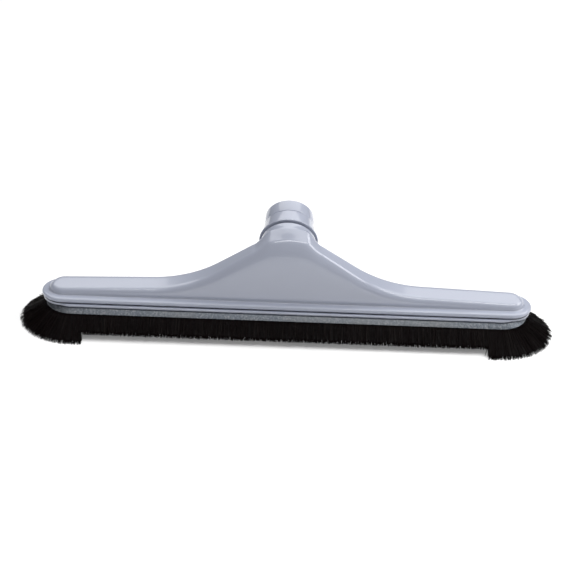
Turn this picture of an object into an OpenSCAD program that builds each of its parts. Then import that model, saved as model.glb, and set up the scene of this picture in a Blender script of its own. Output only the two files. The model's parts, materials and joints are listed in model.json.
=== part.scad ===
/* [Head] */
// Length of the housing's flange, end to end
flange_len = 380; // [340:1:460]
// Thickness of the flange
flange_t = 4; // [3.2:0.1:5]
// Height of the flange's underside above the floor
flange_z = 20.9; // [20:0.1:26]
// Front-to-back width of the hollow body above the flange
body_w = 22.2; // [21:0.1:27]
// Width of flange that shows all round the body
ledge = 6; // [5:0.1:7]
// Wall of the housing
wall = 2.5; // [2:0.1:3]

/* [Hump] */
// Height of the crest above the floor
crest_z = 74.5; // [66:0.1:90]
// Radius of the crest, seen from the front
crest_r = 53; // [44:1:60]
// Slope of the shoulders
shoulder_angle = 33; // [29:0.1:38]
// Radius where a shoulder meets its wing
valley_r = 100; // [80:1:120]
// Height of the wings' tops at their ends
wing_z = 32; // [30:0.5:36]
// Fall of the wings' tops towards their ends
wing_fall = 2; // [1:0.1:3]

/* [Neck] */
// Lean of the neck back from the vertical
neck_tilt = 76; // [68:1:80]
// Rise of the neck's top edge above the crest
neck_rise = 8.96; // [8:0.02:10]
// Distance of the neck's domed foot behind the hump's front face
dome_back = 1.65; // [1.2:0.05:2.2]
// Distance of the neck's shoulder behind the hump, at the crest's height
neck_clear = 2.92; // [2.4:0.02:3.4]
// Width of the neck's shoulder beyond the cuff
shoulder_lip = 2; // [1.6:0.1:2.6]
// Wall of the neck
neck_wall = 3; // [2.5:0.1:3.6]
// Thickness of the wall that closes the neck's shoulder
neck_end_t = 3; // [2.5:0.1:3.6]
// Wall of the journal that the cuff turns on
journal_wall = 2.7; // [2.3:0.1:3.3]
// Length of the journal
journal_len = 12.5; // [12:0.1:15]
// Distance of the seal from the neck's shoulder
seal_s = 4.2; // [3.8:0.1:4.8]
// Distance of the snap ring from the neck's shoulder
snap_s = 8; // [7.5:0.1:9]

/* [Hose cuff] */
// Outer radius of the hose spigot
spigot_r = 19.05; // [15.8:0.05:23]
// Length of the hose spigot
spigot_len = 12.5; // [10:0.1:30]
// Wall of the cuff beyond the journal
spigot_wall = 3.05; // [2.5:0.05:3.7]
// Step from the spigot out to the cuff's body
cuff_step = 0.55; // [0.4:0.05:0.8]
// Wall of the cuff around the journal
cuff_wall = 2.34; // [2:0.02:2.9]
// Width of the rim beyond the cuff's body
rim_lip = 3.2; // [2.6:0.1:4]
// Thickness of the cuff's rim
rim_t = 1.2; // [1:0.1:2]
// Distance from the neck's shoulder to the ring between body and spigot
cuff_body_len = 16; // [15.4:0.1:24]
// Radial gap between the journal and the cuff
swivel_fit = 0.06; // [0.03:0.01:0.1]
// Thickness of the wear washer behind the cuff's rim
washer_t = 1; // [0.8:0.1:1.2]
// Free space on each side of a part that turns against another
end_play = 0.1; // [0.05:0.01:0.2]
// Width of the shadow groove between the cuff's body and its spigot
ring_groove_w = 0.9; // [0.6:0.1:1.2]
// Depth of that groove below the spigot
ring_groove_d = 0.4; // [0.3:0.1:0.6]
// Wire radius of the swivel seal
seal_wire_r = 0.9; // [0.8:0.05:1]
// Thickness of the snap ring
snap_t = 1.2; // [1:0.1:1.4]
// Depth of the snap ring in the journal
snap_in = 1; // [0.8:0.1:1.2]
// Depth of the snap ring in the cuff
snap_out = 1; // [0.8:0.1:1.2]

/* [Base] */
// Set-back of the centres of the brush's round ends from the flange's ends
brush_end_back = 25; // [22:0.5:30]
// Width of the base plate beyond the flange
plate_ledge = 1.3; // [1:0.1:2]
// Thickness of the base plate
plate_t = 1.9; // [1.6:0.1:2.3]
// Step from the plate's edge down to its thinner ends
plate_step = 0.6; // [0.4:0.1:0.8]
// Thickness of the gasket under the flange
gasket_t = 0.5; // [0.4:0.1:0.8]
// Set-back of the gasket from the flange's edge
gasket_inset = 1.2; // [0.8:0.1:1.6]
// Width of the rib inside the brush strips that the retainer is screwed to
seat_w = 3.7; // [3.2:0.1:4.4]
// Width of the suction slots
slot_w = 11; // [8:0.1:12]
// Number of lines of base screws on each side of the head's centre
screw_lines = 3; // [3:1:4]
// Distance of the last line of screws from the flange's end
screw_end_back = 40; // [36:1:48]
// Width of the web of plate left on each side of a screw
screw_web = 8; // [6:0.5:9]
// Shank radius of the base screws
screw_r = 1.5; // [1.3:0.1:1.7]
// Head radius of the base screws
screw_head_r = 3.2; // [2.8:0.1:3.5]
// Head height of the base screws
screw_head_t = 1.8; // [1.5:0.1:2.2]
// Width of the screws' driver slots
driver_slot_w = 0.8; // [0.6:0.1:1]
// Depth of the driver slots
driver_slot_d = 1; // [0.6:0.1:1.2]
// Reach of the base screws above the flange's underside
screw_reach = 7.5; // [6:0.1:8]
// Radius of the screw bosses
boss_r = 3.4; // [3.2:0.1:3.6]

/* [Brush] */
// Lean of the bristles out from the vertical
flare = 48; // [40:1:52]
// Depth of the brush strip's channel along the bristles
channel_h = 5; // [4.5:0.1:5.5]
// Width of the channel across the bristles
channel_w = 4; // [3.6:0.1:4.8]
// Thickness of the channel's metal
channel_t = 0.6; // [0.4:0.05:0.8]
// Free space around a strip in its seat
seat_gap = 0.05; // [0.03:0.01:0.1]
// Radius of the core wire
wire_r = 0.8; // [0.6:0.05:1]
// Reach of the bristles' outer tips beyond the base plate's edge
skirt_reach = 25; // [21:0.1:28]
// Width of the band of tips at the floor
tip_band = 7.3; // [6:0.1:8.8]
// Height of the trimmed front bristles above the floor
front_gap = 4.6; // [4:0.1:7]
// Run of the end strips along the straight sides
wrap_run = 9; // [7:0.5:12]
// Gap between the ends of neighbouring strips
strip_gap = 0.3; // [0.3:0.1:1]
// Thickness of the retainer's body
retainer_t = 3; // [2.5:0.1:3.5]
// Thickness of the retainer's lip under the strips
lip_t = 1; // [0.8:0.1:1.2]
// Set-back of that lip from the channel's mouth
lip_back = 0.8; // [0.6:0.1:1.5]
// Number of retainer screws on each side
retainer_screws_n = 6; // [4:1:8]
// Shank radius of the retainer screws
small_screw_r = 1.1; // [0.9:0.1:1.2]
// Head radius of the retainer screws
small_head_r = 2; // [1.8:0.1:2.2]
// Head height of the retainer screws
small_head_t = 1.2; // [1:0.1:1.4]

/* [Hidden] */
$fn = 96;

plastic = [0.79, 0.80, 0.88];
metal = [0.62, 0.64, 0.67];
hair = [0.06, 0.05, 0.05];
rubber = [0.12, 0.12, 0.13];
screw_fit = 0.05;
overlap = 1;
hole_extra = 1;
strip_back = 0.2;
wire_back = 0.35;
seal_free = 0.01;
seal_side = 0.1;
small_tip_gap = 0.2;
spigot_edge = 0.8;

// Half sizes of the plan outlines, each a straight run with two round ends
body_r = body_w / 2;
body_cx = flange_len / 2 - ledge - body_r;
flange_r = body_r + ledge;
flange_cx = flange_len / 2 - flange_r;
brush_cx = flange_len / 2 - brush_end_back;
strip_len = 2 * (brush_cx - wrap_run);
plate_r = flange_r + plate_ledge;
tip_out_r = plate_r + skirt_reach;
tip_in_r = tip_out_r - tip_band;
gasket_r = flange_r - gasket_inset;
gasket_in_r = body_r - wall;

// Heights of the layers under the flange
flange_top = flange_z + flange_t;
plate_top = flange_z - gasket_t;
plate_z = plate_top - plate_t;
body_foot = flange_z + flange_t / 2;

// The channel's closed upper corner, from which its section is drawn
strip_r = plate_r - strip_back;
strip_z = plate_z - strip_back;
strip_turn = flare - 90;
along = [sin(flare), -cos(flare)];
n_out = [cos(flare), sin(flare)];
closed_up = [strip_r, strip_z];
closed_low = closed_up - channel_w * n_out;
mouth_up = closed_up + channel_h * along;
mouth_low = closed_low + channel_h * along;
seat_foot = closed_low[1];
seat_in_r = closed_low[0] - seat_w;
retainer_top = seat_foot - seat_gap;
retainer_z = retainer_top - retainer_t;
small_screw_y = (seat_in_r + closed_low[0]) / 2;
end_run = wrap_run - strip_gap;
wire_u = channel_t + wire_back + wire_r;

// The front view of the body: crest arc, shoulder, valley arc and wing
crest_cz = crest_z - crest_r;
crest_end = [crest_r * sin(shoulder_angle), crest_cz + crest_r * cos(shoulder_angle)];
n_slope = [sin(shoulder_angle), cos(shoulder_angle)];
n_wing = [sin(wing_fall), cos(wing_fall)];
wing_end = [body_cx, wing_z];
c_slope = valley_r + crest_end * n_slope;
c_wing = valley_r + wing_end * n_wing;
turn = sin(shoulder_angle - wing_fall);
valley_c = [
    (c_slope * cos(wing_fall) - c_wing * cos(shoulder_angle)) / turn,
    (c_wing * sin(shoulder_angle) - c_slope * sin(wing_fall)) / turn
];
arc_steps = 12;

// Right half of the body's outline, moved in by a depth, from the crest out to a reach
function outline_half(depth, reach) = [
    for (i = [0:arc_steps])
        let (a = shoulder_angle * i / arc_steps)
        [(crest_r - depth) * sin(a), crest_cz + (crest_r - depth) * cos(a)],
    for (i = [0:arc_steps])
        let (a = shoulder_angle + (wing_fall - shoulder_angle) * i / arc_steps)
        valley_c - (valley_r + depth) * [sin(a), cos(a)],
    [reach, wing_top(reach) - depth / cos(wing_fall)]
];
function wing_top(x) = wing_z + (body_cx - x) * tan(wing_fall);

// Height of the roof over a point beyond the crest
function roof(x) =
    x < valley_c[0] - valley_r * sin(shoulder_angle)
        ? crest_end[1] - (x - crest_end[0]) * tan(shoulder_angle)
        : x < valley_c[0] - valley_r * sin(wing_fall)
            ? valley_c[1] - sqrt(valley_r ^ 2 - (x - valley_c[0]) ^ 2)
            : wing_top(x);
function outline(depth, foot, reach) =
    let (half = outline_half(depth, reach), n = len(half))
    concat(
        [[-reach, foot]],
        [for (i = [n - 1:-1:1]) [-half[i][0], half[i][1]]],
        half,
        [[reach, foot]]
    );

// Neck and cuff, sized from the hose spigot inwards and outwards
cuff_r = spigot_r + cuff_step;
cuff_bore_r = spigot_r - spigot_wall;
rim_r = cuff_r + rim_lip;
journal_r = cuff_r - cuff_wall - swivel_fit;
journal_bore_r = journal_r - journal_wall;
neck_r = cuff_r + shoulder_lip;
neck_bore_r = neck_r - neck_wall;
neck_z = crest_z + neck_rise - neck_r * sin(neck_tilt);
neck_y = body_r + neck_clear + (crest_z - neck_z) / tan(neck_tilt);
neck_dome = (neck_y - neck_r + body_r - dome_back) / sin(neck_tilt);
cuff_foot = washer_t + 2 * end_play;
cuff_socket_r = journal_r + swivel_fit;
cuff_socket_end = journal_len + end_play;
cuff_end = cuff_body_len + spigot_len;
seal_groove_w = 2 * (seal_wire_r + seal_side);
seal_groove_r = journal_r - 2 * (seal_wire_r + seal_free);

// The frame's origin lies under the middle of the whole head's box
back_reach = neck_y + cuff_end * sin(neck_tilt) + spigot_r * cos(neck_tilt);
frame_y = -(max(back_reach, tip_out_r) - tip_out_r) / 2;

module in_frame() {
    translate([0, frame_y, 0]) children();
}

// The children lie across the outline at X and up at Y, and run along one straight side
module straight_run(len, side) {
    rotate([0, 0, side * 90])
        translate([0, len / 2, 0])
            rotate([90, 0, 0])
                linear_extrude(len) children();
}

module round_end(cx, side) {
    translate([side * cx, 0, 0])
        rotate([0, 0, -side * 90])
            rotate_extrude(angle = 180) children();
}

module all_round(cx) {
    for (side = [-1, 1]) {
        straight_run(2 * cx, side) children();
        round_end(cx, side) children();
    }
}

module end_wrap(side) {
    round_end(brush_cx, side) children();
    for (back = [-1, 1])
        translate([side * (brush_cx - end_run / 2), 0, 0])
            straight_run(end_run, back) children();
}

module stadium(cx, r, z, t) {
    translate([-cx, -r, z]) cube([2 * cx, 2 * r, t]);
    for (side = [-1, 1])
        translate([side * cx, 0, z]) cylinder(r = r, h = t);
}

// The front view's outline, run through the plan's outline
module body_block(depth, foot) {
    r = body_r - depth;
    reach = body_cx + body_r + overlap;
    intersection() {
        rotate([90, 0, 0])
            translate([0, 0, -body_w])
                linear_extrude(2 * body_w) polygon(outline(depth, foot, reach));
        stadium(body_cx, r, foot - overlap, crest_z);
    }
}

module on_neck() {
    translate([0, neck_y, neck_z]) rotate([-neck_tilt, 0, 0]) children();
}

// A bar of revolution along the neck with a domed foot inside the hump
module domed_bar(r, top) {
    rotate_extrude() {
        translate([0, -neck_dome]) square([r, neck_dome + top]);
        intersection() {
            translate([0, -neck_dome]) circle(r);
            translate([0, -neck_dome - r]) square([r, r + overlap]);
        }
    }
}

module boss_at(x, y, top) {
    translate([x, y, flange_z]) cylinder(r = boss_r, h = top - flange_z);
}

// The innermost screws stand off the centre line, in short bosses that join the rear wall,
// and the others are on it, in bosses that join the roof
screw_pitch = (flange_len / 2 - screw_end_back) / screw_lines;
function screw_x(i) = (i + 1) * screw_pitch;
function screw_y(i) = i == 0 ? body_r - wall - boss_r + overlap : 0;
function boss_top(i) = (i == 0 ? wing_top(screw_x(i)) : roof(screw_x(i) + boss_r)) - wall / 2;

module flange() {
    bead = flange_t / 2;
    stadium(flange_cx, flange_r - bead, flange_z, flange_t);
    all_round(flange_cx) translate([flange_r - bead, flange_z + bead]) circle(bead);
}

module upper_housing() {
    in_frame() color(plastic)
        difference() {
            union() {
                difference() {
                    union() {
                        body_block(0, body_foot);
                        flange();
                        on_neck() domed_bar(neck_r, 0);
                        on_neck() cylinder(r = journal_r, h = journal_len);
                    }
                    body_block(wall, flange_z - overlap);
                    on_neck() domed_bar(neck_bore_r, -neck_end_t);
                    on_neck() translate([0, 0, -neck_end_t - overlap])
                        cylinder(r = journal_bore_r, h = journal_len + neck_end_t + 2 * overlap);
                    on_neck() difference() {
                        translate([0, 0, seal_s - seal_groove_w / 2])
                            cylinder(r = journal_r + overlap, h = seal_groove_w);
                        translate([0, 0, seal_s - seal_groove_w / 2 - overlap])
                            cylinder(r = seal_groove_r, h = seal_groove_w + 2 * overlap);
                    }
                    on_neck() difference() {
                        translate([0, 0, snap_s - snap_t / 2])
                            cylinder(r = journal_r + overlap, h = snap_t);
                        translate([0, 0, snap_s - snap_t / 2 - overlap])
                            cylinder(r = journal_r - snap_in, h = snap_t + 2 * overlap);
                    }
                }
                for (side = [-1, 1], i = [0:screw_lines - 1])
                    boss_at(side * screw_x(i), screw_y(i), boss_top(i));
            }
            for (side = [-1, 1], i = [0:screw_lines - 1])
                translate([side * screw_x(i), screw_y(i), flange_z - overlap])
                    cylinder(r = screw_r + screw_fit, h = screw_reach + hole_extra + overlap);
        }
}

module housing_gasket() {
    in_frame() color(rubber)
        difference() {
            stadium(flange_cx, gasket_r, plate_top, gasket_t);
            stadium(body_cx, gasket_in_r, plate_top - overlap, gasket_t + 2 * overlap);
        }
}

module slot(x0, x1) {
    translate([(x0 + x1) / 2, 0, 0])
        stadium((x1 - x0 - slot_w) / 2, slot_w / 2, plate_z - overlap, plate_t + 2 * overlap);
}

module base_plate() {
    in_frame() color(plastic)
        difference() {
            union() {
                stadium(brush_cx, plate_r, plate_z, plate_t);
                stadium(flange_cx, gasket_r, plate_z + plate_step, plate_t - plate_step);
                all_round(brush_cx)
                    difference() {
                        translate([seat_in_r, seat_foot])
                            square([strip_r - seat_in_r, plate_z - seat_foot + overlap]);
                        translate([strip_r, strip_z]) rotate(strip_turn)
                            translate([-seat_gap, -2 * plate_r]) square(4 * plate_r);
                    }
            }
            slot(-screw_x(0) + screw_web, screw_x(0) - screw_web);
            for (half_turn = [0, 180], i = [0:screw_lines - 2])
                rotate(half_turn)
                    slot(screw_x(i) + screw_web, screw_x(i + 1) - screw_web);
            for (side = [-1, 1], i = [0:screw_lines - 1])
                translate([side * screw_x(i), screw_y(i), plate_z - overlap])
                    cylinder(r = screw_r + screw_fit, h = plate_t + 2 * overlap);
            at_retainer_screws()
                translate([0, 0, seat_foot - overlap])
                    cylinder(r = small_screw_r + screw_fit, h = plate_z - seat_foot + overlap);
        }
}

module at_retainer_screws() {
    pitch = strip_len / retainer_screws_n;
    for (i = [0:retainer_screws_n - 1], back = [-1, 1])
        translate([(i + 0.5) * pitch - strip_len / 2, back * small_screw_y, 0]) children();
}

module base_screws() {
    in_frame() color(metal)
        for (side = [-1, 1], i = [0:screw_lines - 1])
            translate([side * screw_x(i), screw_y(i), 0])
                difference() {
                    union() {
                        translate([0, 0, plate_z - screw_head_t])
                            cylinder(r = screw_head_r, h = screw_head_t);
                        translate([0, 0, plate_z - overlap])
                            cylinder(r = screw_r, h = flange_z + screw_reach - plate_z + overlap);
                    }
                    for (turn = [0, 90])
                        rotate([0, 0, turn])
                            translate([-screw_r, -driver_slot_w / 2, plate_z - screw_head_t - overlap])
                                cube([2 * screw_r, driver_slot_w, overlap + driver_slot_d]);
                }
}

module retainer_section() {
    translate([seat_in_r, retainer_z])
        square([closed_low[0] - seat_in_r, retainer_t]);
    intersection() {
        translate([strip_r, strip_z]) rotate(strip_turn)
            translate([-channel_w, -channel_w - seat_gap - lip_t])
                square([channel_h + channel_w - lip_back, lip_t]);
        translate([seat_in_r, 0]) square([plate_r * 2, retainer_top]);
    }
}

module brush_retainer() {
    in_frame() color(metal)
        difference() {
            all_round(brush_cx) retainer_section();
            at_retainer_screws()
                translate([0, 0, retainer_z - overlap])
                    cylinder(r = small_screw_r + screw_fit, h = retainer_t + 2 * overlap);
        }
}

module retainer_screws() {
    in_frame() color(metal)
        at_retainer_screws() {
            translate([0, 0, retainer_z - small_head_t])
                cylinder(r = small_head_r, h = small_head_t);
            translate([0, 0, retainer_z - small_head_t / 2])
                cylinder(r = small_screw_r, h = plate_z - retainer_z + small_head_t / 2 - small_tip_gap);
        }
}

module in_strip() {
    translate([strip_r, strip_z]) rotate(strip_turn) children();
}

module channel_section() {
    in_strip()
        difference() {
            translate([0, -channel_w]) square([channel_h, channel_w]);
            translate([channel_t, channel_t - channel_w])
                square([channel_h, channel_w - 2 * channel_t]);
        }
}

module wire_section(extra) {
    in_strip() translate([wire_u, -channel_w / 2]) circle(wire_r + extra);
}

// Point on a bristle line, from its root at the mouth towards its tip on the floor
function on_line(root, tip_r, z) =
    let (k = (root[1] - z) / root[1]) [root[0] + k * (tip_r - root[0]), z];

module bristle_section(tip_z) {
    in_wall = channel_t + seat_gap;
    up = mouth_up - in_wall * n_out;
    low = mouth_low + in_wall * n_out;
    root = (channel_h - in_wall) * along;
    difference() {
        polygon([
            up - root, up,
            on_line(up, tip_out_r, tip_z), on_line(low, tip_in_r, tip_z),
            low, low - root
        ]);
        wire_section(seat_gap);
    }
}

module front_channel() { in_frame() color(metal) straight_run(strip_len, -1) channel_section(); }
module rear_channel() { in_frame() color(metal) straight_run(strip_len, 1) channel_section(); }
module left_channel() { in_frame() color(metal) end_wrap(-1) channel_section(); }
module right_channel() { in_frame() color(metal) end_wrap(1) channel_section(); }

module front_core_wire() { in_frame() color(metal) straight_run(strip_len, -1) wire_section(0); }
module rear_core_wire() { in_frame() color(metal) straight_run(strip_len, 1) wire_section(0); }
module left_core_wire() { in_frame() color(metal) end_wrap(-1) wire_section(0); }
module right_core_wire() { in_frame() color(metal) end_wrap(1) wire_section(0); }

module front_bristles() { in_frame() color(hair) straight_run(strip_len, -1) bristle_section(front_gap); }
module rear_bristles() { in_frame() color(hair) straight_run(strip_len, 1) bristle_section(0); }
module left_bristles() { in_frame() color(hair) end_wrap(-1) bristle_section(0); }
module right_bristles() { in_frame() color(hair) end_wrap(1) bristle_section(0); }

module tube(r_in, r_out, s, t) {
    on_neck() translate([0, 0, s])
        difference() {
            cylinder(r = r_out, h = t);
            translate([0, 0, -overlap]) cylinder(r = r_in, h = t + 2 * overlap);
        }
}

module cuff_washer() {
    in_frame() color(rubber)
        tube(journal_r + swivel_fit, cuff_r, 0, washer_t);
}

module cuff_seal() {
    in_frame() color(rubber)
        on_neck() translate([0, 0, seal_s])
            rotate_extrude() translate([journal_r - seal_wire_r - seal_free, 0]) circle(seal_wire_r);
}

module cuff_snap_ring() {
    t = snap_t - 2 * end_play;
    in_frame() color(metal)
        difference() {
            tube(journal_r - snap_in + end_play / 2, journal_r + snap_out - end_play, snap_s - t / 2, t);
            on_neck() translate([0, 0, snap_s - snap_t]) cube([2 * journal_r, snap_t, 2 * snap_t]);
        }
}

module cuff_outside() {
    fillet = rim_r - cuff_r;
    rotate_extrude() {
        translate([0, cuff_foot]) square([rim_r, rim_t]);
        difference() {
            translate([0, cuff_foot]) square([rim_r, rim_t + fillet]);
            translate([rim_r, cuff_foot + rim_t + fillet]) circle(fillet);
        }
        translate([0, cuff_foot]) square([cuff_r, cuff_body_len - cuff_foot]);
        translate([0, cuff_foot])
            square([spigot_r - ring_groove_d, cuff_end - spigot_edge - cuff_foot]);
        translate([0, cuff_body_len + ring_groove_w])
            square([spigot_r, spigot_len - ring_groove_w - spigot_edge]);
        translate([0, cuff_foot]) square([spigot_r - spigot_edge, cuff_end - cuff_foot]);
        translate([spigot_r - spigot_edge, cuff_end - spigot_edge]) circle(spigot_edge);
    }
}

module hose_cuff() {
    in_frame() color(plastic)
        on_neck()
            difference() {
                cuff_outside();
                translate([0, 0, -overlap])
                    cylinder(r = cuff_socket_r, h = cuff_socket_end + overlap);
                translate([0, 0, -overlap]) cylinder(r = cuff_bore_r, h = cuff_end + 2 * overlap);
                translate([0, 0, snap_s - snap_t / 2])
                    cylinder(r = journal_r + snap_out, h = snap_t);
            }
}

upper_housing();
housing_gasket();
base_plate();
base_screws();
brush_retainer();
retainer_screws();
front_channel();
rear_channel();
left_channel();
right_channel();
front_core_wire();
rear_core_wire();
left_core_wire();
right_core_wire();
front_bristles();
rear_bristles();
left_bristles();
right_bristles();
cuff_washer();
cuff_seal();
cuff_snap_ring();
hose_cuff();
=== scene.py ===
import json
import math

import bpy
import numpy as np
import openvdb
from mathutils import Matrix, Vector


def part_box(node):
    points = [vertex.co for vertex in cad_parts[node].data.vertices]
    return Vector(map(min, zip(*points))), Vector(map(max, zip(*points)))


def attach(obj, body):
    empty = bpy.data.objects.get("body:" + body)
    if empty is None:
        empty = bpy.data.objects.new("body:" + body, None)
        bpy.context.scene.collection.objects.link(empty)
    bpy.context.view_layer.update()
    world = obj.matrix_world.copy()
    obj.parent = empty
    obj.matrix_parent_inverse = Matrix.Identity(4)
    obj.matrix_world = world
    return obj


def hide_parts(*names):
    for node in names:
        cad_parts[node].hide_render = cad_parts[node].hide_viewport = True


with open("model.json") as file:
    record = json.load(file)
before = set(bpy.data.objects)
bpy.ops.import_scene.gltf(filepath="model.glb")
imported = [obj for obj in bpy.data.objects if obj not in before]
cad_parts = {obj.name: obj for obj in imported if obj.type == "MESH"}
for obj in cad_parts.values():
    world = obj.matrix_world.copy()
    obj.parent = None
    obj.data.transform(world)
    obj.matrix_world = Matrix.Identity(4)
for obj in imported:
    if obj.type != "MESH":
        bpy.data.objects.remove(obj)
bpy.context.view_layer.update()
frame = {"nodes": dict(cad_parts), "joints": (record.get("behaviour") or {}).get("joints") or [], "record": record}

MM = 0.001
rng = np.random.default_rng(7)

# Sizes in millimetres, in a frame whose origin lies on the floor under the flange's centre line.
# Places that depend on the CAD model are read from its boxes and its joint.
gasket_low, gasket_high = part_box("housing_gasket")
housing_low, housing_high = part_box("upper_housing")
plate_low, plate_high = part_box("base_plate")
end_bristles_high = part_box("right_bristles")[1]
front_bristles_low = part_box("front_bristles")[0]
swivel = frame["joints"][0]
HEAD_Y = (gasket_low.y + gasket_high.y) / 2

# Bead flange and hollow body. An edge's rounding is given as (across, down).
FLANGE_LEN = (housing_high.x - housing_low.x) / MM
FLANGE_Z = gasket_high.z / MM
FLANGE_T = 4.0
FLANGE_R = 17.1
FLANGE_CX = FLANGE_LEN / 2 - FLANGE_R
BODY_R = 11.1
BODY_CX = FLANGE_CX
WALL = 2.5
WING_EDGE = (4.0, 4.0)
WING_TILT = 0.09
CREST_EDGE = (7.5, 17.0)
BACK_EDGE_MORE = 2.6

# Roof line from the side: crest arc, straight shoulder, valley arc and falling wing.
CREST_Z = 74.5
CREST_R = 53.0
SHOULDER = math.radians(33.0)
VALLEY_R = 100.0
WING_Z = 32.0
WING_FALL = math.radians(2.0)
# Slope from the crest's front edge back to the neck, full over RAMP_HALF and gone at RAMP_END.
RAMP_SLOPE = 0.5
RAMP_RUN = 15.0
RAMP_HALF = 13.0
RAMP_END = 26.0

# Neck, journal and cuff.
SPIGOT_R = 19.05
CUFF_R = 19.6
RIM_R = 22.8
JOURNAL_R = 17.2
JOURNAL_BORE_R = 14.5
JOURNAL_LEN = 12.5
CUFF_BORE_R = 16.0
JOURNAL_FIT = 0.06
END_PLAY = 0.1
SEAL_SEAT = (3.2, 5.2)
SEAL_DEPTH = 1.82
SNAP_SEAT = (7.4, 8.6)
SNAP_DEPTH = 1.0
CUFF_BODY_LEN = 16.0
CUFF_END = 28.5
CUFF_FOOT = 1.2
RING_DEPTH = 0.8
NECK_R = 21.6
NECK_WALL = 3.0
NECK_DOME = 5.0
OUTER_DOME = 2.0
NECK_BLEND = 3.0
NECK_FOOT = np.array(swivel["pos_m"]) / MM - np.array([0.0, HEAD_Y / MM, 0.0])
NECK_AXIS = np.array(swivel["axis"])

# Base plate, its screws as (x, y) and its slots between them.
PLATE_R = (plate_high.y - plate_low.y) / 2 / MM
PLATE_T = 1.9
PLATE_Z = plate_high.z / MM - PLATE_T
PLATE_EDGE = 0.7
END_INSET = 1.2
SEAT_W = 3.7
SLOT_R = 5.5
SCREW_WEB = 8.0
SCREWS = [(50.0, 6.2), (100.0, 0.0), (150.0, 0.0)]
BOSS_R = 3.4
BOSS_ABOVE_WING = 1.0
BOSS_HOLE_R = 1.55
BOSS_HOLE_H = 8.5

# Brush: folded channels with flared filaments.
BRUSH_CX = FLANGE_LEN / 2 - 25.0
WRAP_RUN = 9.0
STRAIGHT_HALF = BRUSH_CX - WRAP_RUN
STRIP_GAP = 0.3
FLARE = math.radians(48.0)
CHANNEL_H = 5.0
CHANNEL_W = 4.0
CHANNEL_T = 0.6
TIP_OUT_R = end_bristles_high.x / MM - BRUSH_CX
TIP_BAND = 7.3
TIP_IN_R = TIP_OUT_R - TIP_BAND
TIP_INSET = 0.1
FLOOR_CLEAR = 0.05
FRONT_GAP = front_bristles_low.z / MM


# ---------------------------------------------------------------- meshes


def to_frame(points):
    """Points in millimetres on the head's centre line, moved to the row frame in metres."""
    return np.asarray(points, float) * MM + np.array([0.0, HEAD_Y, 0.0])


def link_mesh(name, points, faces, normals=None, sharp_deg=None):
    mesh = bpy.data.meshes.new(name)
    mesh.from_pydata(to_frame(points).tolist(), [], faces)
    mesh.polygons.foreach_set("use_smooth", np.ones(len(mesh.polygons), bool))
    if sharp_deg is not None:
        mesh.set_sharp_from_angle(angle=math.radians(sharp_deg))
    if normals is not None:
        mesh.normals_split_custom_set_from_vertices(normals.tolist())
    mesh.update()
    obj = bpy.data.objects.new(name, mesh)
    bpy.context.scene.collection.objects.link(obj)
    return obj


def gradient(field, points, step=0.05):
    out = np.empty_like(points)
    for axis in range(3):
        shift = np.zeros(3)
        shift[axis] = step
        up = points + shift
        down = points - shift
        out[:, axis] = (field(*up.T) - field(*down.T)) / (2 * step)
    return out


def mesh_of_field(name, field, low, high, cell):
    """The surface where a signed distance is zero: meshed on a grid, then moved onto it exactly."""
    axes = [np.arange(a, b + cell, cell) for a, b in zip(low, high)]
    x = axes[0][:, None, None]
    y = axes[1][None, :, None]
    z = axes[2][None, None, :]
    values = np.broadcast_to(field(x, y, z), [len(a) for a in axes]).astype(np.float32)
    grid = openvdb.FloatGrid(background=10.0)
    grid.copyFromArray(np.ascontiguousarray(values))
    points, quads = grid.convertToQuads(isovalue=0.0)
    points = np.asarray(points, float) * cell + np.array(low, float)
    for _ in range(3):
        slope = gradient(field, points)
        length = np.sum(slope * slope, axis=1).clip(0.2, None)
        points = points - slope * (field(*points.T) / length)[:, None]
    slope = gradient(field, points)
    normals = slope / np.linalg.norm(slope, axis=1, keepdims=True).clip(1e-6, None)
    quads = np.asarray(quads, int)
    a, b, c = (points[quads[:, i]] for i in range(3))
    facing = np.sum(np.cross(b - a, c - a) * normals[quads[:, 0]], axis=1)
    if np.mean(facing > 0) < 0.5:
        quads = quads[:, ::-1]
    return link_mesh(name, points, quads.tolist(), normals)


def rounded_max(a, b, r):
    """The solid inside both, with the edge between them rounded to r."""
    inside = np.minimum(np.maximum(a + r, b + r), 0.0)
    return inside + np.hypot(np.maximum(a + r, 0.0), np.maximum(b + r, 0.0)) - r


def smooth_min(a, b, k):
    h = np.clip(0.5 + 0.5 * (b - a) / k, 0.0, 1.0)
    return b + (a - b) * h - k * h * (1.0 - h)


def stadium(x, y, half, r):
    return np.hypot(np.maximum(np.abs(x) - half, 0.0), y) - r


# ---------------------------------------------------------------- housing

crest_cz = CREST_Z - CREST_R
crest_x = CREST_R * math.sin(SHOULDER)
crest_end_z = crest_cz + CREST_R * math.cos(SHOULDER)
slope_c = VALLEY_R + crest_x * math.sin(SHOULDER) + crest_end_z * math.cos(SHOULDER)
wing_c = VALLEY_R + BODY_CX * math.sin(WING_FALL) + WING_Z * math.cos(WING_FALL)
turn = math.sin(SHOULDER - WING_FALL)
valley_x = (slope_c * math.cos(WING_FALL) - wing_c * math.cos(SHOULDER)) / turn
valley_z = (wing_c * math.sin(SHOULDER) - slope_c * math.sin(WING_FALL)) / turn
valley_start = valley_x - VALLEY_R * math.sin(SHOULDER)
valley_end = valley_x - VALLEY_R * math.sin(WING_FALL)


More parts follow.
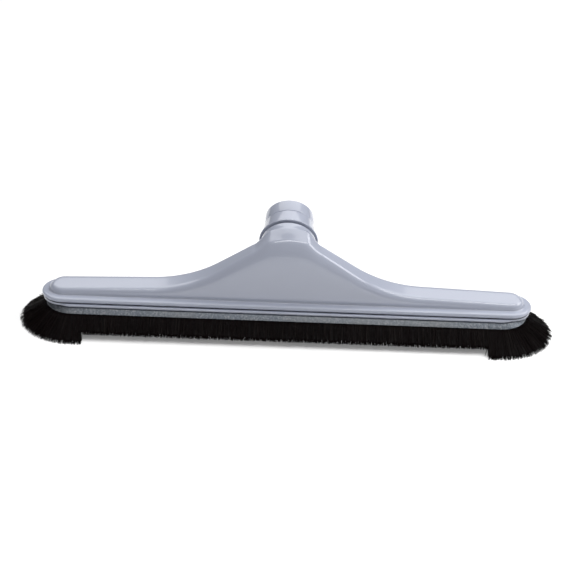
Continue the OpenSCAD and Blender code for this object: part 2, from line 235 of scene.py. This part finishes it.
def roof(x):
    """Height of the body's top at x, and its slope: crest arc, shoulder, valley arc and wing."""
    x = np.abs(x)
    on_crest = np.sqrt(np.maximum(CREST_R**2 - np.minimum(x, crest_x) ** 2, 1.0))
    on_valley = np.sqrt(np.maximum(VALLEY_R**2 - (x - valley_x) ** 2, 1.0))
    where = [x < crest_x, x < valley_start, x < valley_end]
    height = np.select(
        where,
        [
            crest_cz + on_crest,
            crest_end_z - (x - crest_x) * math.tan(SHOULDER),
            valley_z - on_valley,
        ],
        WING_Z + (BODY_CX - x) * math.tan(WING_FALL),
    )
    slope = np.select(
        where,
        [-x / on_crest, -math.tan(SHOULDER), (x - valley_x) / on_valley],
        -math.tan(WING_FALL),
    )
    return height, slope


def ramp(x, y):
    """The crest's rise from its front edge back to the neck, which it meets in one slope."""
    middle = np.clip((RAMP_END - np.abs(x)) / (RAMP_END - RAMP_HALF), 0.0, 1.0)
    middle = middle * middle * (3.0 - 2.0 * middle)
    return np.clip(y + BODY_R, 0.0, RAMP_RUN) * RAMP_SLOPE * middle


def body(x, y, z, depth):
    """The body's solid, moved in by a depth. Its long edges are rounder at the crest."""
    height, slope = roof(x)
    rise = np.clip((height - WING_Z) / (CREST_Z - WING_Z), 0.0, 1.0)
    height = height + ramp(x, y) - WING_TILT * (BODY_R - y)
    back = BACK_EDGE_MORE * np.clip((y + 4.0) / 8.0, 0.0, 1.0) * (1.0 - rise)
    across = WING_EDGE[0] + (CREST_EDGE[0] - WING_EDGE[0]) * rise + back - depth
    down = WING_EDGE[1] + (CREST_EDGE[1] - WING_EDGE[1]) * rise + back - depth
    above = (z - height) / np.sqrt(1.0 + slope**2) + depth
    beside = stadium(x, y, BODY_CX, BODY_R - depth)
    return rounded_max(beside, above * across / down, across)


def neck_coords(x, y, z):
    dy = y - NECK_FOOT[1]
    dz = z - NECK_FOOT[2]
    s = dy * NECK_AXIS[1] + dz * NECK_AXIS[2]
    side = dy * NECK_AXIS[2] - dz * NECK_AXIS[1]
    return s, np.hypot(x, side)


def neck(x, y, z, r, top, edge, dome=NECK_DOME):
    s, rho = neck_coords(x, y, z)
    ball = np.hypot(rho, s + dome) - r
    return np.where(s < -dome, ball, rounded_max(rho - r, s - top, edge))


def flange(x, y, z):
    """A bead with a half-round edge all round the body's foot."""
    bead = FLANGE_T / 2
    beside = stadium(x, y, FLANGE_CX, FLANGE_R - bead)
    level = z - FLANGE_Z - bead
    return np.hypot(np.maximum(beside, 0.0), level) - bead


def housing(x, y, z):
    """Body, neck and flange in one, hollowed, with six bosses for the plate's screws."""
    outside = np.maximum(body(x, y, z, 0.0), FLANGE_Z + 1.0 - z)
    outside = smooth_min(outside, neck(x, y, z, NECK_R, 0.0, 1.0, OUTER_DOME), NECK_BLEND)
    outside = smooth_min(outside, flange(x, y, z), 1.2)
    inside = body(x, y, z, WALL)
    inside = np.minimum(inside, neck(x, y, z, NECK_R - NECK_WALL, -NECK_WALL, 1.0))
    s, rho = neck_coords(x, y, z)
    inside = np.minimum(inside, np.maximum(rho - JOURNAL_BORE_R, -s - NECK_DOME))
    shell = np.maximum(outside, -inside)
    for screw_x, screw_y in SCREWS:
        rho = np.hypot(np.abs(x) - screw_x, y - screw_y)
        boss = np.maximum(rho - BOSS_R, z - WING_Z - BOSS_ABOVE_WING)
        shell = np.minimum(shell, np.maximum(boss, outside))
        shell = np.maximum(shell, -np.maximum(rho - BOSS_HOLE_R, z - FLANGE_Z - BOSS_HOLE_H))
    return np.maximum(shell, FLANGE_Z - z)


def make_housing():
    cell = 0.9
    low = (-FLANGE_LEN / 2 - 2, -FLANGE_R - 2, FLANGE_Z - 2)
    high = (FLANGE_LEN / 2 + 2, NECK_FOOT[1] + 8, CREST_Z + 8)
    return mesh_of_field("housing_shell", housing, low, high, cell)


def plate(x, y, z):
    """Flat plate with longer ends, a ring-shaped rib for the strips and slots between its screws."""
    level = np.abs(z - PLATE_Z - PLATE_T / 2) - PLATE_T / 2
    brush_part = rounded_max(stadium(x, y, BRUSH_CX, PLATE_R), level, PLATE_EDGE)
    end_part = np.maximum(stadium(x, y, FLANGE_CX, FLANGE_R - END_INSET), level)
    rib_z = np.abs(z - (PLATE_Z + 0.5 + RIB_FOOT) / 2) - (PLATE_Z + 0.5 - RIB_FOOT) / 2
    ring = stadium(x, y, BRUSH_CX, 0.0)
    rib = np.maximum(np.abs(ring - (RIB_IN_R + RIB_OUT_R) / 2) - (RIB_OUT_R - RIB_IN_R) / 2, rib_z)
    out = np.minimum(np.minimum(brush_part, end_part), rib)
    slots = [(0.0, SCREWS[0][0] - SCREW_WEB - SLOT_R)]
    for (a, _), (b, _) in zip(SCREWS, SCREWS[1:]):
        slots.append(((a + b) / 2, (b - a) / 2 - SCREW_WEB - SLOT_R))
    for centre, half in slots:
        hole = stadium(np.abs(x) - centre if centre else x, y, half, SLOT_R)
        out = np.maximum(out, -hole)
    return out


closed_up = np.array([PLATE_R - 0.2, PLATE_Z - 0.2])
along = np.array([math.sin(FLARE), -math.cos(FLARE)])
n_out = np.array([math.cos(FLARE), math.sin(FLARE)])
RIB_FOOT = (closed_up - CHANNEL_W * n_out)[1]
RIB_OUT_R = (closed_up - CHANNEL_W * n_out)[0]
RIB_IN_R = RIB_OUT_R - SEAT_W


def make_plate():
    low = (-FLANGE_LEN / 2 - 2, -PLATE_R - 2, RIB_FOOT - 2)
    high = (FLANGE_LEN / 2 + 2, PLATE_R + 2, PLATE_Z + PLATE_T + 2)
    return mesh_of_field("floor_plate", plate, low, high, 0.55)


# ---------------------------------------------------------------- cuff and journal


def arc(centre, r, start, end, steps):
    angles = np.radians(np.linspace(start, end, steps))
    return [(centre[0] + r * math.cos(a), centre[1] + r * math.sin(a)) for a in angles]


def lathe(name, profile, steps=160, sharp_deg=35):
    """A closed profile of (radius, distance along the neck), turned about the neck's axis."""
    profile = np.array(profile)
    n = len(profile)
    e1 = np.array([1.0, 0.0, 0.0])
    e2 = np.cross(NECK_AXIS, e1)
    points = []
    for k in range(steps):
        a = 2 * math.pi * k / steps
        spoke = e1 * math.cos(a) + e2 * math.sin(a)
        points.append(NECK_FOOT + profile[:, :1] * spoke + profile[:, 1:] * NECK_AXIS)
    faces = []
    for k in range(steps):
        m = (k + 1) % steps
        for i in range(n):
            j = (i + 1) % n
            faces.append((k * n + i, m * n + i, m * n + j, k * n + j))
    return link_mesh(name, np.concatenate(points), faces, sharp_deg=sharp_deg)


def make_cuff():
    """Hose cuff with a flared rim at its foot, a step ring and a rounded mouth."""
    fillet = RIM_R - CUFF_R
    foot = CUFF_FOOT
    edge = 0.8
    bore = JOURNAL_R + JOURNAL_FIT
    profile = [(bore, foot + 0.3), (bore + 0.3, foot)]
    profile += arc((RIM_R - 0.5, foot + 0.5), 0.5, -90, 0, 5)
    profile += arc((RIM_R - 0.4, foot + 1.0), 0.4, 0, 90, 5)
    profile += arc((RIM_R, foot + 1.4 + fillet), fillet, 262, 180, 12)
    profile += arc((CUFF_R - 0.35, CUFF_BODY_LEN - 0.35), 0.35, 0, 90, 4)
    profile += [(SPIGOT_R - RING_DEPTH, CUFF_BODY_LEN), (SPIGOT_R - RING_DEPTH, CUFF_BODY_LEN + 0.9)]
    profile += arc((SPIGOT_R - 0.25, CUFF_BODY_LEN + 1.15), 0.25, -90, 0, 3)
    profile += arc((SPIGOT_R - edge, CUFF_END - edge), edge, 0, 90, 7)
    profile += arc((CUFF_BORE_R + 0.6, CUFF_END - 0.6), 0.6, 90, 180, 5)
    profile += [(CUFF_BORE_R, JOURNAL_LEN + END_PLAY), (bore, JOURNAL_LEN + END_PLAY)]
    profile += [(bore, SNAP_SEAT[1]), (JOURNAL_R + SNAP_DEPTH, SNAP_SEAT[1])]
    profile += [(JOURNAL_R + SNAP_DEPTH, SNAP_SEAT[0]), (bore, SNAP_SEAT[0])]
    return lathe("swivel_cuff", profile)


def make_journal():
    """The tube that the cuff turns on, with seats for the seal and the snap ring."""
    foot = 0.3 - NECK_WALL
    profile = [(JOURNAL_BORE_R, foot), (JOURNAL_R, foot)]
    for (low, high), depth in ((SEAL_SEAT, SEAL_DEPTH), (SNAP_SEAT, SNAP_DEPTH)):
        inner = JOURNAL_R - depth
        profile += [(JOURNAL_R, low), (inner, low), (inner, high), (JOURNAL_R, high)]
    profile += arc((JOURNAL_R - 0.5, JOURNAL_LEN - 0.5), 0.5, 0, 90, 5)
    profile += [(JOURNAL_BORE_R, JOURNAL_LEN)]
    return lathe("neck_journal", profile)


# ---------------------------------------------------------------- brush


def path(part, step):
    """Points on the brush's centre line with the outward direction, for the front, rear or an end."""
    if part in ("front", "rear"):
        side = -1.0 if part == "front" else 1.0
        xs = np.linspace(-STRAIGHT_HALF, STRAIGHT_HALF, int(2 * STRAIGHT_HALF / step) + 1)
        base = np.stack([xs, 0 * xs], axis=1)
        out = np.tile([0.0, side], (len(xs), 1))
        return base, out
    side = 1.0 if part == "right" else -1.0
    run = WRAP_RUN - STRIP_GAP
    xs = np.linspace(BRUSH_CX - run, BRUSH_CX, int(run / step) + 1)[:-1]
    mean_r = 26.0
    angles = np.linspace(-math.pi / 2, math.pi / 2, int(math.pi * mean_r / step) + 1)
    before = np.stack([xs, 0 * xs], axis=1)
    middle = np.tile([BRUSH_CX, 0.0], (len(angles), 1))
    base = np.concatenate([before, middle, before[::-1]])
    out = np.concatenate(
        [
            np.tile([0.0, -1.0], (len(xs), 1)),
            np.stack([np.cos(angles), np.sin(angles)], axis=1),
            np.tile([0.0, 1.0], (len(xs), 1)),
        ]
    )
    return base * [side, 1.0], out * [side, 1.0]


def place(base, out, r, z):
    """Points at a reach r out of the centre line and a height z."""
    return np.concatenate([base + out * r[:, None], z[:, None]], axis=1)


def sweep(name, base, out, sections, sharp_deg=30, flip=False):
    """Closed sections of (reach, height), one for each point of a path, joined and capped."""
    n_path, n = len(base), len(sections[0])
    points = []
    for b, o, section in zip(base, out, sections):
        tile = np.tile(b, (n, 1))
        points.append(place(tile, np.tile(o, (n, 1)), section[:, 0], section[:, 1]))
    faces = []
    for k in range(n_path - 1):
        for i in range(n):
            j = (i + 1) % n
            faces.append((k * n + i, k * n + j, (k + 1) * n + j, (k + 1) * n + i))
    faces.append(tuple(range(n))[::-1])
    faces.append(tuple((n_path - 1) * n + i for i in range(n)))
    if flip:
        faces = [f[::-1] for f in faces]
    return link_mesh(name, np.concatenate(points), faces, sharp_deg=sharp_deg)


def in_strip(u, v):
    """Points of a channel's section: u down from its closed edge, v in from its outer face."""
    return closed_up + np.multiply.outer(u, along) - np.multiply.outer(v, n_out)


# Paths that run the other way round need their faces turned over.
PART_FLIP = {"front": False, "rear": True, "right": False, "left": True}


def make_channel(part):
    """A folded metal strip, nicked across its outer face at a steady pitch to grip the filaments."""
    base, out = path(part, 0.8)
    pitch = 3
    sections = []
    for k in range(len(base)):
        nick = 0.14 if k % pitch == 0 else 0.0
        wave = 0.05 * math.sin(k * 1.7) + 0.04 * rng.random()
        top = nick + wave
        u = np.array(
            [0.5, 1.6, 4.4, CHANNEL_H, CHANNEL_H, 0.6, 0.6, CHANNEL_H, CHANNEL_H, 0.5, 0.0, 0.0]
        )
        v = np.array([top * 0.3, top, top, 0.12 + top * 0.5, 0.7, 0.7, 3.4, 3.4, 4.0, 4.0, 3.5, 0.5])
        sections.append(in_strip(u, v))
    return sweep(part + "_strip", base, out, sections, flip=PART_FLIP[part])


def tip_height(part):
    return FRONT_GAP if part == "front" else 0.0


def bristle_ends(w, tip_z):
    """Root at the channel's mouth and tip, for filaments at w across the channel (0 inner, 1 outer)."""
    w = np.asarray(w, float)[:, None]
    in_wall = CHANNEL_T + 0.05
    up = closed_up + CHANNEL_H * along - in_wall * n_out
    low = closed_up + CHANNEL_H * along - (CHANNEL_W - in_wall) * n_out
    root = low + (up - low) * w
    floor_r = TIP_IN_R + (TIP_OUT_R - TIP_IN_R) * w[:, 0]
    k = (root[:, 1] - tip_z) / root[:, 1]
    tip = np.stack([root[:, 0] + k * (floor_r - root[:, 0]), np.full(len(root), tip_z)], axis=1)
    return root, tip


def filament_places(part):
    """Where each filament stands: base point, outward direction and its place across the channel."""
    rows = 9
    pitch = 0.62
    spacing = 0.1
    base, out = path(part, spacing)
    step = int(pitch / spacing)
    places, ways, across = [], [], []
    for row in range(rows):
        index = np.arange((row * 3) % step, len(base), step)
        index = np.clip(index + rng.integers(-3, 4, len(index)), 0, len(base) - 1)
        places.append(base[index])
        ways.append(out[index])
        across.append(np.full(len(index), (row + 0.5) / rows) + rng.normal(0, 0.03, len(index)))
    return np.concatenate(places), np.concatenate(ways), np.clip(np.concatenate(across), 0.02, 0.98)


def keep_inside(points):
    """Moves stray points up to the floor and in to the brush's outer line."""
    points[..., 2] = np.maximum(points[..., 2], FLOOR_CLEAR)
    from_x = np.clip(points[..., 0], -BRUSH_CX, BRUSH_CX)
    beyond = np.hypot(points[..., 0] - from_x, points[..., 1])
    pull = np.minimum(1.0, (TIP_OUT_R - TIP_INSET) / np.maximum(beyond, 1.0))
    points[..., 0] = from_x + (points[..., 0] - from_x) * pull
    points[..., 1] = points[..., 1] * pull


def tube_faces(n, rings, sides):
    """Faces of n capped three-sided tubes whose points follow each other ring by ring."""
    per = rings * sides
    pattern = []
    for i in range(rings - 1):
        for j in range(sides):
            m = (j + 1) % sides
            pattern.append((i * sides + j, i * sides + m, (i + 1) * sides + m, (i + 1) * sides + j))
    quads = (np.array(pattern)[None] + np.arange(n)[:, None, None] * per).reshape(-1, 4)
    first_caps = np.array([2, 1, 0])[None] + np.arange(n)[:, None] * per
    last_caps = np.array([per - 3, per - 2, per - 1])[None] + np.arange(n)[:, None] * per
    return quads.tolist() + first_caps.tolist() + last_caps.tolist()


def make_filaments(part):
    """Every filament of a row as a thin tapered tube, with random length, lift, slide, curl and sag."""
    base, out, w = filament_places(part)
    n = len(base)
    root, tip = bristle_ends(w, tip_height(part))
    tangent = np.stack([-out[:, 1], out[:, 0]], axis=1)
    stray = rng.random(n) < 0.05
    short = rng.exponential(0.012, n).clip(0, 0.06)
    short = np.where(stray, short + 0.06 * rng.random(n), short)
    lift = np.where(stray & (w > 0.7), rng.random(n) * 2.2, rng.normal(0, 0.22, n))
    slide = rng.normal(0, 1.1, n) + np.where(stray, rng.normal(0, 2.5, n), 0.0)
    curl = rng.normal(0, 0.35, n)
    sag = rng.normal(0.25, 0.3, n)
    width = rng.uniform(0.23, 0.33, n)
    rings = np.array([-0.1, 0.22, 0.52, 0.82, 1.0])
    taper = np.array([1.0, 1.0, 0.96, 0.88, 0.7])
    sides = 3
    line = tip - root
    line_len = np.linalg.norm(line, axis=1)
    up_way = np.stack([-line[:, 1], line[:, 0]], axis=1) / line_len[:, None]
    points = np.empty((n, len(rings), sides, 3))
    for i, (t, fine) in enumerate(zip(rings, taper)):
        reach = t * (1.0 - short)
        bow = math.sin(math.pi * max(t, 0.0))
        flat = root + line * reach[:, None]
        flat = flat + up_way * (lift * max(t, 0.0) ** 2 + sag * bow)[:, None]
        across = slide * max(t, 0.0) ** 1.5 + curl * bow
        centre = np.concatenate(
            [base + out * flat[:, :1] + tangent * across[:, None], flat[:, 1:]], axis=1
        )
        for j in range(sides):
            a = 2 * math.pi * j / sides + 0.5
            offset = np.concatenate(
                [
                    tangent * math.cos(a) + out * (up_way[:, :1] * math.sin(a)),
                    up_way[:, 1:] * math.sin(a),
                ],
                axis=1,
            )
            points[:, i, j] = centre + offset * (width * fine)[:, None]
    keep_inside(points)
    per = len(rings) * sides
    faces = tube_faces(n, len(rings), sides)
    obj = link_mesh(part + "_filaments", points.reshape(-1, 3), faces)
    tone = obj.data.attributes.new("tone", "FLOAT", "POINT")
    tone.data.foreach_set("value", np.repeat(rng.random(n), per).astype(np.float32))
    return obj


def make_core(part):
    """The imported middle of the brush, a little inside the filaments, so that no light passes."""
    base, out = path(part, 2.0)
    root, tip = bristle_ends([0.1, 0.92], tip_height(part) + 1.9)
    back = -3.0 * along
    section = np.array([root[1] + back, root[1], tip[1], tip[0], root[0], root[0] + back])
    sections = [section] * len(base)
    return sweep(part + "_brush_core", base, out, sections, flip=PART_FLIP[part])


# ---------------------------------------------------------------- materials


class Material:
    """A node material, built up by small helpers."""

    def __init__(self, name):
        self.material = bpy.data.materials.new(name)
        self.material.use_nodes = True
        self.tree = self.material.node_tree
        self.shader = self.tree.nodes["Principled BSDF"]
        self.coords = self.add("ShaderNodeTexCoord").outputs["Object"]

    def add(self, kind, **values):
        node = self.tree.nodes.new(kind)
        for key, value in values.items():
            setattr(node, key, value)
        return node

    def join(self, a, b):
        self.tree.links.new(a, b)

    def set(self, **values):
        for key, value in values.items():
            self.shader.inputs[key.replace("_", " ")].default_value = value

    def noise(self, scale, detail=3.0, roughness=0.5, stretch=None):
        node = self.add("ShaderNodeTexNoise")
        node.inputs["Scale"].default_value = scale
        node.inputs["Detail"].default_value = detail
        node.inputs["Roughness"].default_value = roughness
        source = self.coords
        if stretch:
            mapping = self.add("ShaderNodeMapping")
            mapping.inputs["Scale"].default_value = stretch
            self.join(source, mapping.inputs["Vector"])
            source = mapping.outputs["Vector"]
        self.join(source, node.inputs["Vector"])
        return node.outputs["Fac"]

    def ramp(self, source, stops):
        node = self.add("ShaderNodeValToRGB")
        elements = node.color_ramp.elements
        while len(elements) < len(stops):
            elements.new(0.5)
        for element, (place, colour) in zip(elements, stops):
            element.position = place
            element.color = (*colour, 1.0) if len(colour) == 3 else colour
        self.join(source, node.inputs["Fac"])
        return node.outputs["Color"]

    def span(self, source, low, high, from_low=0.3, from_high=0.7):
        node = self.add("ShaderNodeMapRange")
        node.inputs["From Min"].default_value = from_low
        node.inputs["From Max"].default_value = from_high
        node.inputs["To Min"].default_value = low
        node.inputs["To Max"].default_value = high
        self.join(source, node.inputs["Value"])
        return node.outputs["Result"]

    def mix(self, factor, a, b):
        node = self.add("ShaderNodeMix", data_type="RGBA")
        for socket, value in zip((0, 6, 7), (factor, a, b)):
            if isinstance(value, bpy.types.NodeSocket):
                self.join(value, node.inputs[socket])
            elif socket:
                node.inputs[socket].default_value = (*value, 1.0)
            else:
                node.inputs[socket].default_value = value
        return node.outputs[2]

    def bump(self, height, strength, distance, before=None):
        node = self.add("ShaderNodeBump")
        node.inputs["Strength"].default_value = strength
        node.inputs["Distance"].default_value = distance
        self.join(height, node.inputs["Height"])
        if before is not None:
            self.join(before, node.inputs["Normal"])
        return node.outputs["Normal"]

    def finish(self, colour=None, roughness=None, normal=None):
        pairs = (("Base Color", colour), ("Roughness", roughness), ("Normal", normal))
        for key, socket in pairs:
            if socket is not None:
                self.join(socket, self.shader.inputs[key])
        return self.material


def housing_plastic():
    m = Material("housing_plastic")
    m.set(Metallic=0.0, IOR=1.5, Coat_Weight=0.6, Coat_Roughness=0.05)
    cloud = m.noise(9.0, 4.0)
    base = m.ramp(cloud, [(0.3, (0.445, 0.475, 0.575)), (0.7, (0.47, 0.50, 0.60))])
    # Sharp convex edges, found by pointiness, are mixed towards a paler grey: partly rubbed wear, partly a painted
    # highlight along the ridges.
    edges = m.add("ShaderNodeNewGeometry").outputs["Pointiness"]
    wear_and_highlight = m.span(edges, 0.0, 0.35, 0.60, 0.70)
    colour = m.mix(wear_and_highlight, base, (0.60, 0.62, 0.68))
    scuffs = m.noise(180.0, 6.0, 0.7, stretch=(1.0, 5.0, 5.0))
    roughness = m.span(scuffs, 0.16, 0.22)
    peel = m.bump(m.noise(260.0, 2.0), 0.03, 0.0002)
    fine = m.bump(scuffs, 0.012, 0.0001, before=peel)
    return m.finish(colour, roughness, fine)


def bristle_hair():
    m = Material("bristle_hair")
    m.set(IOR=1.5, Specular_IOR_Level=0.08)
    tone = m.add("ShaderNodeAttribute", attribute_name="tone").outputs["Fac"]
    darkest = (0.002, 0.0008, 0.0009)
    usual = (0.0045, 0.0016, 0.0018)
    palest = (0.012, 0.009, 0.008)
    colour = m.ramp(tone, [(0.0, darkest), (0.85, usual), (1.0, palest)])
    streak = m.noise(900.0, 2.0)
    roughness = m.span(streak, 0.42, 0.6)
    return m.finish(colour, roughness, m.bump(streak, 0.2, 0.0001))


def strip_metal():
    m = Material("strip_metal")
    m.set(Metallic=0.75, IOR=1.8)
    mottle = m.noise(620.0, 5.0, 0.75)
    dull = (0.09, 0.10, 0.12)
    usual = (0.14, 0.16, 0.19)
    bright = (0.36, 0.37, 0.38)
    base = m.ramp(mottle, [(0.36, dull), (0.5, usual), (0.66, bright)])
    warm = m.span(m.noise(26.0, 2.0), 0.0, 0.5, 0.45, 0.7)
    colour = m.mix(warm, base, (0.21, 0.215, 0.22))
    roughness = m.span(mottle, 0.35, 0.6)
    return m.finish(colour, roughness, m.bump(mottle, 0.4, 0.0002))


def fastener_steel():
    m = Material("fastener_steel")
    m.set(Metallic=1.0)
    turned = m.noise(700.0, 3.0, 0.6)
    colour = m.ramp(turned, [(0.3, (0.45, 0.45, 0.47)), (0.7, (0.62, 0.62, 0.63))])
    return m.finish(colour, m.span(turned, 0.22, 0.42), m.bump(turned, 0.15, 0.0001))


def seal_rubber():
    m = Material("seal_rubber")
    grain = m.noise(800.0, 4.0, 0.7)
    colour = m.ramp(grain, [(0.3, (0.018, 0.018, 0.019)), (0.7, (0.034, 0.034, 0.036))])
    return m.finish(colour, m.span(grain, 0.6, 0.8), m.bump(grain, 0.3, 0.0001))


def washer_plastic():
    m = Material("washer_plastic")
    grain = m.noise(600.0, 3.0)
    colour = m.ramp(grain, [(0.3, (0.15, 0.15, 0.17)), (0.7, (0.20, 0.20, 0.22))])
    return m.finish(colour, m.span(grain, 0.38, 0.52), m.bump(grain, 0.15, 0.0001))


def pale_floor():
    m = Material("pale_floor")
    cloud = m.noise(3.0, 3.0)
    colour = m.ramp(cloud, [(0.3, (0.93, 0.93, 0.93)), (0.7, (0.95, 0.95, 0.95))])
    m.set(Emission_Color=(1.0, 1.0, 1.0, 1.0), Emission_Strength=0.2)
    return m.finish(colour, m.span(cloud, 0.7, 0.8))


MATERIALS = {
    "housing_plastic": housing_plastic(),
    "bristle_hair": bristle_hair(),
    "strip_metal": strip_metal(),
    "fastener_steel": fastener_steel(),
    "seal_rubber": seal_rubber(),
    "washer_plastic": washer_plastic(),
}


def dress(obj, slot_name, body_name=None, *nodes):
    obj.data.materials.clear()
    obj.data.materials.append(MATERIALS[slot_name])
    if body_name:
        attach(obj, body_name)
    if nodes:
        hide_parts(*nodes)


# ---------------------------------------------------------------- the object

dress(make_housing(), "housing_plastic", "head", "upper_housing")
dress(make_journal(), "housing_plastic", "head", "upper_housing")
dress(make_plate(), "housing_plastic", "head", "base_plate")
dress(make_cuff(), "housing_plastic", "cuff", "hose_cuff")
for part in ("front", "rear", "left", "right"):
    dress(make_channel(part), "strip_metal", "head", part + "_channel")
    dress(make_filaments(part), "bristle_hair", "head", part + "_bristles")
    dress(make_core(part), "bristle_hair", "head", part + "_bristles")

replaced = {"upper_housing", "base_plate", "hose_cuff"}
for entry in frame["record"]["subparts"]:
    cad_name = entry["node"]
    if cad_name in replaced or cad_name.endswith(("_channel", "_bristles")):
        continue
    dress(frame["nodes"][cad_name], entry["material_slot"])


# ---------------------------------------------------------------- stage, lights, camera


def make_floor():
    half = 9.0
    mesh = bpy.data.meshes.new("floor")
    corners = [(-half, -half, 0), (half, -half, 0), (half, half, 0), (-half, half, 0)]
    mesh.from_pydata(corners, [], [(0, 1, 2, 3)])
    floor = bpy.data.objects.new("floor", mesh)
    bpy.context.scene.collection.objects.link(floor)
    mesh.materials.append(pale_floor())


def aim(obj, direction, roll=0.0):
    turn = direction.to_track_quat("-Z", "Y").to_matrix().to_4x4()
    obj.matrix_world = Matrix.Translation(obj.location) @ turn @ Matrix.Rotation(roll, 4, "Z")


def soft_light(name, place, target, width, depth, power):
    data = bpy.data.lights.new(name, "AREA")
    data.shape = "RECTANGLE"
    data.size, data.size_y = width, depth
    data.energy = power
    light = bpy.data.objects.new(name, data)
    bpy.context.scene.collection.objects.link(light)
    light.location = place
    aim(light, Vector(target) - Vector(place))


def make_world(level):
    world = bpy.data.worlds.new("studio")
    world.use_nodes = True
    background = world.node_tree.nodes["Background"]
    background.inputs["Color"].default_value = (1.0, 1.0, 1.0, 1.0)
    background.inputs["Strength"].default_value = level
    bpy.context.scene.world = world


def make_camera():
    azimuth = math.radians(-0.6)
    elevation = math.radians(30.05)
    roll = math.radians(1.8)
    distance = 1.3
    target = Vector((0.0, 0.0, 0.035))
    view = Vector(
        (
            math.sin(azimuth) * math.cos(elevation),
            math.cos(azimuth) * math.cos(elevation),
            -math.sin(elevation),
        )
    )
    data = bpy.data.cameras.new("camera")
    data.sensor_width = 36.0
    data.lens = 104.875
    data.shift_x = 0.0017
    data.shift_y = -0.0092
    camera = bpy.data.objects.new("camera", data)
    bpy.context.scene.collection.objects.link(camera)
    camera.location = target - view * distance
    aim(camera, view, roll)
    bpy.context.scene.camera = camera


make_floor()
make_world(0.08)
soft_light("ceiling", (0.0, 1.0, 2.3), (0, 0.25, 0), 3.6, 2.8, 57.0)
soft_light("strip_box", (0.2, -0.38, 1.1), (0, 0, 0), 1.2, 0.1, 4.3)
soft_light("side_box", (1.05, 0.1, 0.8), (0.1, 0, 0), 0.8, 0.5, 6.0)
make_camera()
bpy.context.scene.view_settings.view_transform = "Standard"
